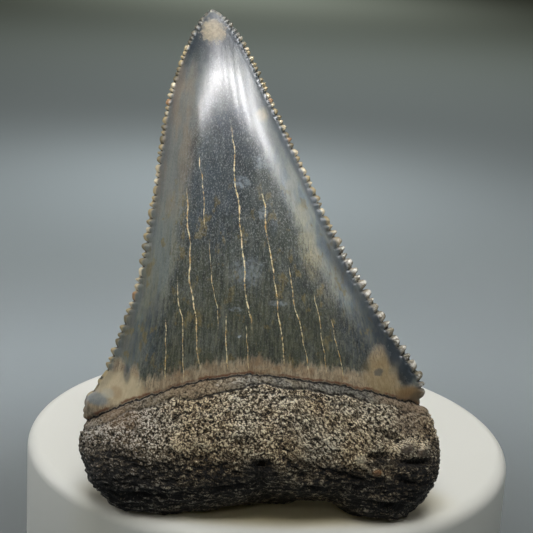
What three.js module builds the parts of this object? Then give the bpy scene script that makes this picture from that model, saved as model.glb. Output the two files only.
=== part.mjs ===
// A fossil great white shark tooth standing on a round white display stand.
// Millimetres, +Z up. The origin is the centre of the stand's underside, and -Y is the side
// from which the tooth is shown: its lingual face, the rounded one that faced into the mouth.

import * as THREE from "three";
import { ParametricGeometry } from "three/addons/geometries/ParametricGeometry.js";
import { mergeGeometries, mergeVertices } from "three/addons/utils/BufferGeometryUtils.js";

const { clamp, degToRad, lerp, smoothstep } = THREE.MathUtils;

// Driving dimensions.
const STAND = { radius: 30, height: 30, topRounding: 1.6, footChamfer: 0.6, sides: 96, roundingSteps: 5 };
const TOOTH_PLACE = { x: -1.2, y: -19.5 }; // where the plane of the cutting edges meets the stand's top
const LEAN_BACK = degToRad(8);
const RESTING_GAP = 0.1;

// The tooth's own frame: x across it, y from the lingual (-) to the labial (+) side, z up the crown,
// and y = 0 in the plane of the two cutting edges.
const CROWN = {
  bevelSlope: 0.72, // the bevels along the cutting edges, lingual side
  bevelWidthAtFoot: 4.6,
  bevelWidthAtTip: 3.3,
  bevelToPanel: 0.55, // how softly a bevel turns into the flat middle
  panelDome: 2.3, // what the broad middle adds to the bevels
  panelDomeReach: 10,
  panelRollBack: 1.5, // how far the panel turns back below the tip
  labialHeight: 1.9, // the outward face is nearly flat
  labialReach: 3.6,
  tipBend: 1.0, // the tip turns a little to the labial side
  tipBendStart: 22,
};
const ROOT = {
  middle: -2.6, // y of the middle of its thickness, where its rim runs
  lingualRounding: 6,
  labialRounding: 2.8,
  shoulder: 0.25, // the root stands this far out from the foot of the enamel
  lobeFront: 7.2, // thickness in front of the cutting edges
  bossFront: 1.9, // what the boss between the lobes adds
  bossReach: 8.5,
  swellOver: 8.0, // height over which the root swells to its full thickness
  labialFace: 2.7,
  labialHollow: 0.8,
  groove: { x: -0.4, depth: 0.9, reach: 1.6, top: 5.5 }, // the nutrient groove, lingual side
};
const FACES = { across: 36, root: 17, crown: 32 }; // on each side

// Outlines in the plane of the cutting edges.
const outline = (...corners) => new THREE.SplineCurve(corners.map(([x, z]) => new THREE.Vector2(x, z)));
const leftRoot = outline(
  [-18.6, 1.1], [-19.7, 2.4], [-20.7, 4.2], [-21.1, 5.9], [-20.8, 7.2], [-20.2, 8.3],
);
const rightRoot = outline(
  [17.4, 1.1], [18.2, 2.4], [19.0, 4.3], [19.3, 6.5], [18.8, 8.7], [18.0, 10.3], [16.9, 11.3],
);
const leftEdge = outline(
  [-20.2, 8.3], [-20.7, 9.6], [-19.7, 11.7], [-18.2, 14.2], [-16.8, 18.5], [-15.2, 23.5],
  [-14.4, 28.9], [-13.6, 35.1], [-12.8, 42.9], [-11.7, 47.6], [-10.3, 51.4], [-9.2, 53.3],
);
const rightEdge = outline(
  [16.9, 11.3], [17.1, 13.2], [16.5, 15.0], [13.6, 18.9], [9.9, 24.3], [6.8, 29.0], [3.4, 35.4],
  [0.9, 40.1], [-1.7, 45.0], [-4.5, 50.3], [-5.9, 52.2], [-7.2, 53.5],
);
const tip = outline([-9.2, 53.3], [-8.3, 54.0], [-7.2, 53.5]);
// From lobe to lobe, over the arch between them.
const underside = outline(
  [-18.6, 1.1], [-17.0, -0.5], [-14.3, -1.5], [-10.2, -1.6], [-7.0, -0.8], [-3.6, 0.4], [0, 1.2],
  [4.3, 1.3], [7.4, 0.8], [9.4, -0.6], [11.6, -1.5], [13.6, -1.7], [16.0, -0.4], [17.4, 1.1],
);
// The foot of the enamel, where crown meets root.
const lingualFoot = outline(
  [-20.2, 8.3], [-18.6, 9.5], [-13.8, 12.0], [-8.8, 14.0], [-4.0, 15.1], [-1.0, 15.2],
  [5.0, 14.6], [10.5, 13.6], [14.9, 12.2], [16.9, 11.3],
);
const labialFoot = outline(
  [-20.2, 8.3], [-17.0, 8.6], [-9.0, 10.5], [-1.5, 12.3], [7.0, 12.1], [13.9, 11.3], [16.9, 11.3],
);

const rootRim = [
  ...leftRoot.getSpacedPoints(24).reverse(),
  ...underside.getSpacedPoints(80).slice(1, -1),
  ...rightRoot.getSpacedPoints(24),
];
const cuttingEdges = [leftEdge, rightEdge].map((edge) => [...edge.getSpacedPoints(90), tip.getPoint(0.5)]);
const feet = { lingual: lingualFoot.getSpacedPoints(60), labial: labialFoot.getSpacedPoints(60) };

// Distance from (x, z) to a line given by its points.
function distanceTo(line, x, z) {
  let nearest = Infinity;
  for (let i = 1; i < line.length; i++) {
    const from = line[i - 1];
    const alongX = line[i].x - from.x;
    const alongZ = line[i].y - from.y;
    const share = clamp(((x - from.x) * alongX + (z - from.y) * alongZ) / (alongX ** 2 + alongZ ** 2), 0, 1);
    nearest = Math.min(nearest, Math.hypot(x - from.x - share * alongX, z - from.y - share * alongZ));
  }
  return nearest;
}

// Height of a line at x, straight between its points.
function heightOf(line, x) {
  const next = clamp(line.findIndex((point) => point.x > x), 1, line.length - 1);
  const [a, b] = x > line.at(-1).x ? line.slice(-2) : [line[next - 1], line[next]];
  return lerp(a.y, b.y, clamp((x - a.x) / (b.x - a.x), 0, 1));
}

// Distance to the cutting edges, rounded over where both are near, so that the crown has no keel.
function insideEdges(x, z) {
  const [left, right] = cuttingEdges.map((edge) => distanceTo(edge, x, z));
  return left * right === 0 ? 0 : (left ** -3 + right ** -3) ** (-1 / 3);
}

// 0 at the rim, rising as a quarter round to 1.
const roundedEdge = (distance, radius) => Math.sqrt(1 - (1 - clamp(distance / radius, 0, 1)) ** 2);
const saturating = (distance, height, reach) => height * (1 - Math.exp(-((distance / reach) ** 1.6)));

// The smaller of two heights, rounded over where they are about equal.
const softSmaller = (a, b, softness) =>
  -softness * Math.log(Math.exp(-a / softness) + Math.exp(-b / softness));

function crownHeight(x, z, lingual) {
  const inside = insideEdges(x, z);
  if (!lingual) return saturating(inside, CROWN.labialHeight, CROWN.labialReach);
  const width = lerp(CROWN.bevelWidthAtFoot, CROWN.bevelWidthAtTip, smoothstep(z, 14, 36));
  const rollBack = CROWN.panelRollBack * (Math.max(0, z - 36) / 14) ** 2;
  const dome = saturating(inside, CROWN.panelDome, CROWN.panelDomeReach);
  const panel = CROWN.bevelSlope * width - rollBack + dome;
  const bevel = CROWN.bevelSlope * inside;
  const fromEdge = 1 - Math.exp(-inside); // 0 on the edges themselves
  return lerp(bevel, softSmaller(bevel, Math.max(panel, 0.4), CROWN.bevelToPanel), fromEdge);
}

// Depth (y) of the tooth's surface over (x, z).
function crownDepth(x, z, lingual) {
  const bend = CROWN.tipBend * (Math.max(0, z - CROWN.tipBendStart) / (54 - CROWN.tipBendStart)) ** 2;
  return bend + (lingual ? -1 : 1) * crownHeight(x, z, lingual);
}

function rootDepth(x, z, lingual) {
  const { groove } = ROOT;
  const foot = heightOf(lingual ? feet.lingual : feet.labial, x);
  const below = Math.max(0, foot - z);
  const shoulder = ROOT.shoulder * smoothstep(below, 0, 0.7);
  const underCrown = clamp(x, leftEdge.points[0].x, rightEdge.points[0].x);
  const neck = crownDepth(underCrown, foot, lingual) + (lingual ? -shoulder : shoulder);
  const swell = Math.sin((Math.PI / 2) * clamp(below / ROOT.swellOver, 0, 1));
  const overBoss = Math.exp(-(((x - groove.x) / ROOT.bossReach) ** 2));
  const inGroove = Math.exp(-(((x - groove.x) / groove.reach) ** 2)) * smoothstep(groove.top - z, 0, 3);
  const face = lingual
    ? groove.depth * inGroove - ROOT.lobeFront - ROOT.bossFront * overBoss
    : ROOT.labialFace - ROOT.labialHollow * overBoss * smoothstep(10 - z, 0, 6);
  const radius = lingual ? ROOT.lingualRounding : ROOT.labialRounding;
  const body = lerp(ROOT.middle, face, roundedEdge(distanceTo(rootRim, x, z), radius));
  return lerp(neck, body, swell);
}

// One face of the crown or the root: a sheet stretched between four outlines (a Coons patch) and
// raised to its depth. Its open rim is where it meets the other side's sheet.
function sheet({ bottom, top, left, right, depth, lingual, rows, openRim }) {
  const corner = [bottom.getPoint(0), bottom.getPoint(1), top.getPoint(0), top.getPoint(1)];
  const towardsRims = (share, weight) =>
    clamp(lerp(share, (1 - Math.cos(Math.PI * share)) / 2, weight), 0, 1);
  return new ParametricGeometry(
    (u, v, target) => {
      const across = towardsRims(lingual ? u : 1 - u, 0.6);
      const up = towardsRims(v, openRim.weight);
      const [b, t] = [bottom, top].map((edge) => edge.getPointAt(across));
      const [l, r] = [left, right].map((edge) => edge.getPointAt(up));
      const [x, z] = ["x", "y"].map(
        (key) =>
          lerp(b[key], t[key], up) + lerp(l[key], r[key], across) -
          lerp(lerp(corner[0][key], corner[1][key], across), lerp(corner[2][key], corner[3][key], across), up),
      );
      const onRim = u === 0 || u === 1 || v === openRim.end;
      const onFoot = v === 1 - openRim.end; // crown and root meet at the enamel's foot
      const depthHere = onFoot ? crownDepth : depth;
      const y = onRim ? (depthHere(x, z, true) + depthHere(x, z, false)) / 2 : depthHere(x, z, lingual);
      target.set(x, y, z);
    },
    FACES.across,
    rows,
  );
}

function toothGeometry() {
  const sheets = [true, false].flatMap((lingual) => {
    const foot = lingual ? lingualFoot : labialFoot;
    return [
      sheet({
        bottom: foot, top: tip, left: leftEdge, right: rightEdge, depth: crownDepth, lingual,
        rows: FACES.crown, openRim: { end: 1, weight: 0.25 },
      }),
      sheet({
        bottom: underside, top: foot, left: leftRoot, right: rightRoot, depth: rootDepth, lingual,
        rows: FACES.root, openRim: { end: 0, weight: 0.5 },
      }),
    ];
  });
  sheets.forEach((part) => part.deleteAttribute("normal").deleteAttribute("uv"));
  const closed = mergeVertices(mergeGeometries(sheets), 1e-3);
  closed.rotateX(-LEAN_BACK);
  const place = closed.getAttribute("position");
  for (let i = 0; i < place.count; i++) {
    place.setZ(i, Math.max(0, place.getZ(i))); // the lobes stand on flats
  }
  closed.computeVertexNormals();
  return closed;
}

function standGeometry() {
  const { radius, height, topRounding, footChamfer, sides, roundingSteps } = STAND;
  const profile = [[0, 0], [radius - footChamfer, 0], [radius, footChamfer]];
  for (let step = 0; step <= roundingSteps; step++) {
    const turn = (step / roundingSteps) * (Math.PI / 2);
    const inwards = topRounding * (1 - Math.cos(turn));
    const down = topRounding * (1 - Math.sin(turn));
    profile.push([radius - inwards, height - down]);
  }
  profile.push([0, height]);
  const corners = profile.map(([outwards, up]) => new THREE.Vector2(outwards, up));
  return new THREE.LatheGeometry(corners, sides).rotateX(Math.PI / 2);
}

const tooth = new THREE.Mesh(
  toothGeometry(),
  new THREE.MeshStandardMaterial({ color: 0x3f4446, roughness: 0.45, metalness: 0 }),
);
tooth.name = "tooth";
tooth.position.set(TOOTH_PLACE.x, TOOTH_PLACE.y, STAND.height + RESTING_GAP);

const stand = new THREE.Mesh(
  standGeometry(),
  new THREE.MeshStandardMaterial({ color: 0xe4e3de, roughness: 0.55, metalness: 0 }),
);
stand.name = "stand";

const toothOnStand = new THREE.Group();
toothOnStand.add(stand, tooth);

export default toothOnStand;
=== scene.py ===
import math

import bpy
import numpy as np
from mathutils import Euler, Matrix, Vector, kdtree, noise


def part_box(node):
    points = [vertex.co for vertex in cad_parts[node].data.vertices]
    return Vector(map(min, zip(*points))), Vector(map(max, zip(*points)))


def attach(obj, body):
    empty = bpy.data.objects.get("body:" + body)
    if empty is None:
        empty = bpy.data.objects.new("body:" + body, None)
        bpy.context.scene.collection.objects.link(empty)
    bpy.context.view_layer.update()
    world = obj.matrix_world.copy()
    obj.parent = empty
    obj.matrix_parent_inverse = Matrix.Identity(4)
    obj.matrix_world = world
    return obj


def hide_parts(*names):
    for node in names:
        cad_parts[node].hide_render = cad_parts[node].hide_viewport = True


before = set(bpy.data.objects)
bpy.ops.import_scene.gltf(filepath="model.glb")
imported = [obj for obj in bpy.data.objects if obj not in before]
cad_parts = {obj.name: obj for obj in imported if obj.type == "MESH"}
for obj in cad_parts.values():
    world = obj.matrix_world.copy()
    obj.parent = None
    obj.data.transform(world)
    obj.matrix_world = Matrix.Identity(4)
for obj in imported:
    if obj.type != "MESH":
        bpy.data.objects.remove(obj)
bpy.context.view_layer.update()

# ---------------------------------------------------------------- camera
# The tooth is looked at squarely from its lingual side, from a little above the tip's height,
# with a long lens, as a specimen is pictured.
stand_low, stand_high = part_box("stand")
camera_data = bpy.data.cameras.new("camera")
camera_data.lens = 94.56
camera_data.sensor_width = 36
camera_data.clip_start = 0.01
camera = bpy.data.objects.new("camera", camera_data)
bpy.context.scene.collection.objects.link(camera)
TURN, LOOK_DOWN, ROLL = math.radians(-3.31), math.radians(15.72), math.radians(3.258)
camera.matrix_world = (
    Matrix.Translation((-0.0109, -0.1646, stand_high.z + 0.0681)) @ Matrix.Rotation(TURN, 4, "Z")
    @ Matrix.Rotation(math.radians(90) - LOOK_DOWN, 4, "X") @ Matrix.Rotation(ROLL, 4, "Z")
)
bpy.context.scene.camera = camera

# ---------------------------------------------------------------- floor and lights
# A plain pale floor, wide enough to fill the view, with painted shade around the stand. Soft lights shine
# from above, from behind and from both sides, three more brighten the floor far behind, and the room
# around is dim.


def add_node(tree, kind, **settings):
    """A node of that kind, with its settings."""
    node = tree.nodes.new(kind)
    for name, value in settings.items():
        setattr(node, name, value)
    return node


def feed(tree, socket, value):
    """Sets an input to a value, or links it to another node's output."""
    if isinstance(value, bpy.types.NodeSocket):
        tree.links.new(value, socket)
    else:
        socket.default_value = value


def new_material(name):
    """A material with an empty tree but for its output and one Principled shader."""
    material = bpy.data.materials.new(name)
    material.use_nodes = True
    tree = material.node_tree
    shader = tree.nodes["Principled BSDF"]
    return material, tree, shader


def colour(red, green, blue):
    """A colour given as it looks on a screen, 0 to 255, as the linear colour that shaders take."""
    steps = [part / 255 for part in (red, green, blue)]
    linear = [s / 12.92 if s <= 0.04045 else ((s + 0.055) / 1.055) ** 2.4 for s in steps]
    return (*linear, 1)


def noise_texture(tree, vector, scale, detail=3, roughness=0.55):
    """A noise texture's value."""
    node = add_node(tree, "ShaderNodeTexNoise")
    feed(tree, node.inputs["Vector"], vector)
    feed(tree, node.inputs["Scale"], scale)
    feed(tree, node.inputs["Detail"], detail)
    feed(tree, node.inputs["Roughness"], roughness)
    return node.outputs["Fac"]


def blend(tree, share, first, second):
    """One colour turned into another by a share."""
    node = add_node(tree, "ShaderNodeMix", data_type="RGBA")
    feed(tree, node.inputs[0], share)
    feed(tree, node.inputs[6], first)
    feed(tree, node.inputs[7], second)
    return node.outputs[2]


def ramp(tree, value, start, end, low=0.0, high=1.0):
    """Turns a value smoothly from low at start to high at end."""
    node = add_node(tree, "ShaderNodeMapRange", interpolation_type="SMOOTHSTEP")
    for socket, setting in zip(node.inputs, (value, start, end, low, high)):
        feed(tree, socket, setting)
    return node.outputs[0]


def maths(tree, operation, *values, clamp=False):
    """The result of a Math node on numbers or outputs."""
    node = add_node(tree, "ShaderNodeMath", operation=operation, use_clamp=clamp)
    for socket, value in zip(node.inputs, values):
        feed(tree, socket, value)
    return node.outputs[0]


def vector_maths(tree, operation, *values):
    """The result of a Vector Math node: a number for a length, and a vector for the others."""
    node = add_node(tree, "ShaderNodeVectorMath", operation=operation)
    for socket, value in zip(node.inputs, values):
        feed(tree, socket, value)
    return node.outputs["Value" if operation == "LENGTH" else "Vector"]


def mapped(tree, vector, kind="POINT", **settings):
    """A vector moved, turned and scaled by a Mapping node."""
    node = add_node(tree, "ShaderNodeMapping", vector_type=kind)
    feed(tree, node.inputs["Vector"], vector)
    for name, value in settings.items():
        feed(tree, node.inputs[name], value)
    return node.outputs["Vector"]


def object_place(tree, scale=1000.0, **settings):
    """The place on the object, in millimetres unless another scale is given."""
    where = add_node(tree, "ShaderNodeTexCoord").outputs["Object"]
    return mapped(tree, where, Scale=(scale, scale, scale), **settings)


FLOOR_SIZE = 12.0
bpy.ops.object.select_all(action="DESELECT")
bpy.ops.mesh.primitive_plane_add(size=FLOOR_SIZE, location=(0, 0, 0))
floor = bpy.context.object
floor.name = "floor"
floor_material, tree, shader = new_material("pale_floor")
floor_place = object_place(tree, scale=1.0)
cloudy = noise_texture(tree, floor_place, scale=4.5)
paper = blend(tree, cloudy, colour(160, 171, 175), colour(167, 176, 180))
from_middle = vector_maths(tree, "LENGTH", floor_place)
# Painted shade: the floor is painted darker close to the stand, as if in its shadow.
paper = blend(tree, ramp(tree, from_middle, 0.13, 0.03), paper, colour(113, 118, 119))
paper = blend(tree, ramp(tree, from_middle, 0.25, 0.9), paper, colour(162, 172, 160))
feed(tree, shader.inputs["Base Color"], paper)
feed(tree, shader.inputs["Roughness"], 0.75)
feed(tree, shader.inputs["Specular IOR Level"], 0.2)
floor.data.materials.append(floor_material)


def add_light(name, place, target, size, power, tint=(1, 1, 1), spread=180):
    """A rectangular soft light that points at a target."""
    data = bpy.data.lights.new(name, "AREA")
    data.shape = "RECTANGLE"
    data.size, data.size_y = size
    data.energy = power
    data.color = tint
    data.spread = math.radians(spread)
    light = bpy.data.objects.new(name, data)
    direction = Vector(target) - Vector(place)
    light.rotation_euler = direction.to_track_quat("-Z", "Y").to_euler()
    light.location = place
    bpy.context.scene.collection.objects.link(light)


def around(target, elevation, turn, distance):
    """A place at that distance from a target, up by an angle and turned from the front to the right."""
    up, aside = math.radians(elevation), math.radians(turn)
    level = distance * math.cos(up)
    x, y, z = target
    return (x + level * math.sin(aside), y - level * math.cos(aside), z + distance * math.sin(up))


warm, cool = (1.0, 0.99, 0.965), (0.97, 0.99, 1.0)
add_light("overhead", (-0.01, -0.104, 0.35), (0, -0.02, 0), (0.16, 0.16), 0.63, warm)
add_light("back_overhead", (0.06, 0.17, 0.34), (0.01, 0, 0.03), (0.18, 0.14), 0.27, warm)
add_light("left_side", (-0.31, 0.12, 0.16), (0, 0, 0.04), (0.20, 0.25), 0.32)
add_light("right_side", (0.30, 0.14, 0.16), (0, 0, 0.04), (0.20, 0.25), 0.06)
for name, (x, y, z), size, power, tint, spread in (
    ("floor_light", (0, 0.28, 0.30), 0.12, 0.03, cool, 40),
    ("far_floor_light", (0.06, 0.60, 0.70), 0.28, 0.20, cool, 60),
    ("farthest_floor_light", (0.03, 1.0, 0.45), 0.18, 0.12, warm, 60),
):
    add_light(name, (x, y, z), (x, y, 0), (size, size), power, tint, spread)

# An arch of small lights in front shines on little but the crown, and shows as its bright arch.
# Each has its turn to the right and its angle up, in degrees, and its share of power.
CROWN_LIGHT_DISTANCE = 0.40
CROWN_LIGHT_POWER = 0.0023
CROWN_LIGHT_SPREAD = 11
crown_top = (-0.006, -0.014, 0.087)
for number, (turn, elevation, power) in enumerate([
    (-36, 22, 0.62), (-26, 27, 0.78), (-16, 32, 0.85), (-5, 35.5, 1.05), (7, 38, 1.1),
    (21, 38, 1.0), (36, 36, 0.97), (50, 33, 0.92), (62, 29, 0.76),
]):
    add_light(
        f"crown_light_{number}", around(crown_top, elevation, turn, CROWN_LIGHT_DISTANCE), crown_top,
        (0.10, 0.055), CROWN_LIGHT_POWER * power, (1.0, 0.985, 1.0), CROWN_LIGHT_SPREAD,
    )
world = bpy.data.worlds.new("dim_room")
world.use_nodes = True
world.node_tree.nodes["Background"].inputs["Color"].default_value = colour(236, 231, 208)
world.node_tree.nodes["Background"].inputs["Strength"].default_value = 0.055
bpy.context.scene.world = world
bpy.context.scene.view_settings.view_transform = "Standard"

# ---------------------------------------------------------------- stand
# A plain round block of white satin plastic, moulded in one piece, with a softly rounded top rim
# and a small chamfer at its foot. Its flat top carries the tooth.
TOP_ROUNDING = 0.0016
FOOT_CHAMFER = 0.0006
STAND_SIDES = 192
RINGS = 3  # of edges in the round faces, at a share of the radius from one to the next
RING_SHARE = 0.22
SMOOTH_ANGLE = math.radians(35)
BUMP_DEPTH = 0.0001


def edit(thing):
    """Selects one object alone, with nothing selected in its mesh."""
    bpy.ops.object.select_all(action="DESELECT")
    thing.select_set(True)
    bpy.context.view_layer.objects.active = thing
    bpy.ops.object.mode_set(mode="EDIT")
    bpy.ops.mesh.select_mode(type="FACE")
    bpy.ops.mesh.select_all(action="DESELECT")
    bpy.ops.object.mode_set(mode="OBJECT")


def pick_faces(thing, wanted):
    """Selects the faces for which wanted(middle, normal) is true, and opens the mesh on them."""
    edit(thing)
    for face in thing.data.polygons:
        face.select = wanted(face.center, face.normal)
    bpy.ops.object.mode_set(mode="EDIT")


def place_in_mesh(thing):
    """Leaves the object at the origin, with its place in its mesh."""
    bpy.ops.object.mode_set(mode="OBJECT")
    bpy.ops.object.select_all(action="DESELECT")
    thing.select_set(True)
    bpy.context.view_layer.objects.active = thing
    bpy.ops.object.transform_apply(location=True, rotation=True, scale=True)


def add_relief(tree, shader, height, strength):
    """Gives a shader a fine relief of that height."""
    bump = add_node(tree, "ShaderNodeBump")
    feed(tree, bump.inputs["Height"], height)
    feed(tree, bump.inputs["Distance"], BUMP_DEPTH)
    feed(tree, bump.inputs["Strength"], strength)
    feed(tree, shader.inputs["Normal"], bump.outputs["Normal"])


stand_radius = (stand_high.x - stand_low.x) / 2
stand_depth = stand_high.z - stand_low.z
bpy.ops.object.select_all(action="DESELECT")
bpy.ops.mesh.primitive_cylinder_add(
    vertices=STAND_SIDES, radius=stand_radius, depth=stand_depth,
    location=(0, 0, stand_low.z + stand_depth / 2), end_fill_type="NGON",
)
stand = bpy.context.object
stand.name = "display_block"
place_in_mesh(stand)
pick_faces(stand, lambda middle, normal: normal.z > 0.9)
bpy.ops.mesh.bevel(offset=TOP_ROUNDING, segments=8, affect="EDGES", profile=0.5)
bpy.ops.object.mode_set(mode="OBJECT")
pick_faces(stand, lambda middle, normal: normal.z < -0.9)
bpy.ops.mesh.bevel(offset=FOOT_CHAMFER, segments=2, affect="EDGES", profile=0.5)
bpy.ops.object.mode_set(mode="OBJECT")
for side in (1, -1):
    pick_faces(stand, lambda middle, normal: normal.z * side > 0.999)
    for _ in range(RINGS):
        bpy.ops.mesh.inset(thickness=stand_radius * RING_SHARE, depth=0)
    bpy.ops.mesh.poke()
    bpy.ops.object.mode_set(mode="OBJECT")
bpy.ops.object.shade_smooth_by_angle(angle=SMOOTH_ANGLE)

stand_material, tree, shader = new_material("white_satin_plastic")
place = object_place(tree)
clouds = noise_texture(tree, place, scale=0.05, detail=2)
close_noise = noise_texture(tree, place, scale=1.6, detail=4, roughness=0.7)
dust = ramp(tree, close_noise, 0.66, 0.76)
white = blend(tree, clouds, colour(230, 231, 224), colour(234, 235, 230))
white = blend(tree, maths(tree, "MULTIPLY", dust, 0.25), white, colour(204, 199, 190))
# Painted shade: a faint warm brown tint under the tooth, with a soft edge, stands in for the brown light
# that the root throws into its shadow.
under_tooth = mapped(tree, place, "TEXTURE", Location=(-1.0, -19.0, 0), Scale=(20.0, 8.0, 100.0))
painted_bounce_share = ramp(tree, vector_maths(tree, "LENGTH", under_tooth), 1.2, 0.7, 0.0, 0.85)
feed(tree, shader.inputs["Base Color"], blend(tree, painted_bounce_share, white, colour(232, 218, 166)))
feed(tree, shader.inputs["Roughness"], ramp(tree, clouds, 0.3, 0.7, 0.42, 0.5))
add_relief(tree, shader, close_noise, 0.06)
stand.data.materials.append(stand_material)
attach(stand, "root")
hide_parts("stand")

# ---------------------------------------------------------------- tooth
# One fossil tooth of a great white shark, crown and root in one piece, mineralised. The crown is
# polished enamel with sawn cutting edges and the root is coarse, grainy bone. It stands loose on
# the two lobes of its root.

# The tooth's own measure is the millimetre: x across it, y from its lingual (-) to its labial (+)
# side, z up the crown, with y = 0 in the plane of the cutting edges.
LEAN_BACK = math.radians(8)
TOOTH_FOOT = np.array([-1.2, -19.5, stand_high.z * 1000 + 0.1])
LINGUAL_FOOT = [
    (-20.2, 8.3), (-18.6, 9.5), (-13.8, 12.0), (-8.8, 14.0), (-4.0, 15.1), (-1.0, 15.2),
    (5.0, 14.6), (10.5, 13.6), (14.9, 12.2), (16.9, 11.3),
]
LABIAL_FOOT = [
    (-20.2, 8.3), (-17.0, 8.6), (-9.0, 10.5), (-1.5, 12.3), (7.0, 12.1), (13.9, 11.3), (16.9, 11.3),
]
ROOT_MIDDLE = -2.6  # y of the middle of the root's thickness
TIP_CURVE = 0.85  # y of the middle of the tip, which curves to the labial side
CURVE_STEPS = 12  # of a smooth line, from one given point to the next
lean = np.array(Euler((LEAN_BACK, 0, 0)).to_matrix())


def to_tooth(points):
    """Places in the row's metres, in the tooth's own millimetres."""
    return (points * 1000 - TOOTH_FOOT) @ lean.T


def from_tooth(points):
    return (points @ lean + TOOTH_FOOT) / 1000


def smooth_line(points):
    """A smooth curve through the points, as a list of close points."""
    points = np.array(points, float)
    padded = np.vstack([points[0], points, points[-1]])
    share = np.linspace(0, 1, CURVE_STEPS, endpoint=False)[:, None]
    pieces = []
    for before, start, end, after in zip(padded, padded[1:], padded[2:], padded[3:]):
        leaving, arriving = (end - before) / 2, (after - start) / 2
        pieces.append(
            (2 * start - 2 * end + leaving + arriving) * share**3
            + (3 * end - 3 * start - 2 * leaving - arriving) * share**2
            + leaving * share + start
        )
    return np.vstack([*pieces, points[-1]])


def smoothstep(value, start, end):
    share = np.clip((value - start) / (end - start), 0, 1)
    return share * share * (3 - 2 * share)


lingual_foot = smooth_line(LINGUAL_FOOT)
labial_foot = smooth_line(LABIAL_FOOT)


def lingual_share(points):
    """1 on the lingual side and 0 on the labial side."""
    foot = np.interp(points[:, 0], *lingual_foot.T)
    middle = ROOT_MIDDLE * smoothstep(foot - points[:, 2], 0, 5)
    middle += TIP_CURVE * smoothstep(points[:, 2], 46, 52)
    return smoothstep(middle - points[:, 1], -0.4, 0.4)


def above_foot(points):
    """Distance above the enamel's foot, measured on the surface's own side."""
    heights = []
    for foot in (labial_foot, lingual_foot):
        slope = np.gradient(foot[:, 1], foot[:, 0])
        level = np.interp(points[:, 0], *foot.T)
        steepness = np.interp(points[:, 0], foot[:, 0], slope)
        heights.append((points[:, 2] - level) / np.sqrt(1 + steepness**2))
    share = lingual_share(points)
    return heights[0] * (1 - share) + heights[1] * share


def read_vectors(parts, name):
    """One vector for each vertex or face of a mesh."""
    vectors = np.empty(len(parts) * 3)
    parts.foreach_get(name, vectors)
    return vectors.reshape(-1, 3)


def vertex_places(mesh):
    return to_tooth(read_vectors(mesh.vertices, "co"))


def face_middles(mesh):
    return to_tooth(read_vectors(mesh.polygons, "center"))


def nearest(line, points):
    """For each point, the number of the nearest point of a line, and its distance."""
    tree = kdtree.KDTree(len(line))
    for number, place in enumerate(line.tolist()):
        tree.insert(place, number)
    tree.balance()
    found = [tree.find(point)[1:] for point in points.tolist()]
    return np.array([number for number, _ in found]), np.array([distance for _, distance in found])


# The construction's own solid is the start: its loose triangles are merged and joined to squares,
# its cutting edges are creased, and it is smoothed once.
MERGE_DISTANCE = 1e-6
SHARP_ANGLE = math.radians(100)
tooth = bpy.data.objects.new("shark_tooth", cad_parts["tooth"].data.copy())
bpy.context.scene.collection.objects.link(tooth)
tooth.data.materials.clear()
edit(tooth)
bpy.ops.mesh.customdata_custom_splitnormals_clear()
bpy.ops.object.mode_set(mode="EDIT")
bpy.ops.mesh.select_all(action="SELECT")
bpy.ops.mesh.remove_doubles(threshold=MERGE_DISTANCE)
bpy.ops.mesh.tris_convert_to_quads(face_threshold=math.pi, shape_threshold=math.pi)
bpy.ops.mesh.select_all(action="DESELECT")
bpy.ops.mesh.select_mode(type="EDGE")
bpy.ops.mesh.edges_select_sharp(sharpness=SHARP_ANGLE)
bpy.ops.transform.edge_crease(value=1)
bpy.ops.object.mode_set(mode="OBJECT")
smoothing = tooth.modifiers.new("smoothing", "SUBSURF")
smoothing.levels = smoothing.render_levels = 1
bpy.ops.object.modifier_apply(modifier=smoothing.name)

# The line of the cutting edges, from the left end of the enamel over the tip to its right end, as
# places a fine step apart.
STEP = 0.02
mesh = tooth.data
crease = mesh.attributes["crease_edge"].data
edge_steps = {}
for edge in mesh.edges:
    if crease[edge.index].value > 0.9:
        first, second = edge.vertices
        for here, there in ((first, second), (second, first)):
            edge_steps.setdefault(here, []).append(there)
places = vertex_places(mesh)
ends = [point for point, next_ones in edge_steps.items() if len(next_ones) == 1]
walk = [min(ends, key=lambda point: places[point][0])]
while len(walk) < len(edge_steps):
    walk.append(next(point for point in edge_steps[walk[-1]] if point not in walk[-2:]))
cutting_line = places[walk]
cutting_length = np.concatenate([[0], np.cumsum(np.linalg.norm(np.diff(cutting_line, axis=0), axis=1))])
fine_length = np.arange(0, cutting_length[-1], STEP)
fine_line = np.stack([np.interp(fine_length, cutting_length, along) for along in cutting_line.T], 1)
tangents = np.gradient(fine_line, axis=0)
tangents /= np.linalg.norm(tangents, axis=1)[:, None]


def pick(thing, kind, wanted):
    """Opens the mesh with only the wanted faces or edges selected."""
    edit(thing)
    bpy.ops.object.mode_set(mode="EDIT")
    bpy.ops.mesh.select_mode(type=kind)
    bpy.ops.object.mode_set(mode="OBJECT")
    parts = thing.data.polygons if kind == "FACE" else thing.data.edges
    parts.foreach_set("select", wanted)
    bpy.ops.object.mode_set(mode="EDIT")


# The broad faces of the crown are evened out, away from its edges and its foot.
FOOT_MARGIN, EDGE_MARGIN = 1.5, 1.2
SMOOTHING_ROUNDS = 11
middles = face_middles(mesh)
pick(tooth, "FACE", (above_foot(middles) > FOOT_MARGIN) & (nearest(fine_line, middles)[1] > EDGE_MARGIN))
bpy.ops.mesh.vertices_smooth(factor=0.5, repeat=SMOOTHING_ROUNDS)
bpy.ops.object.mode_set(mode="OBJECT")

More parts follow.
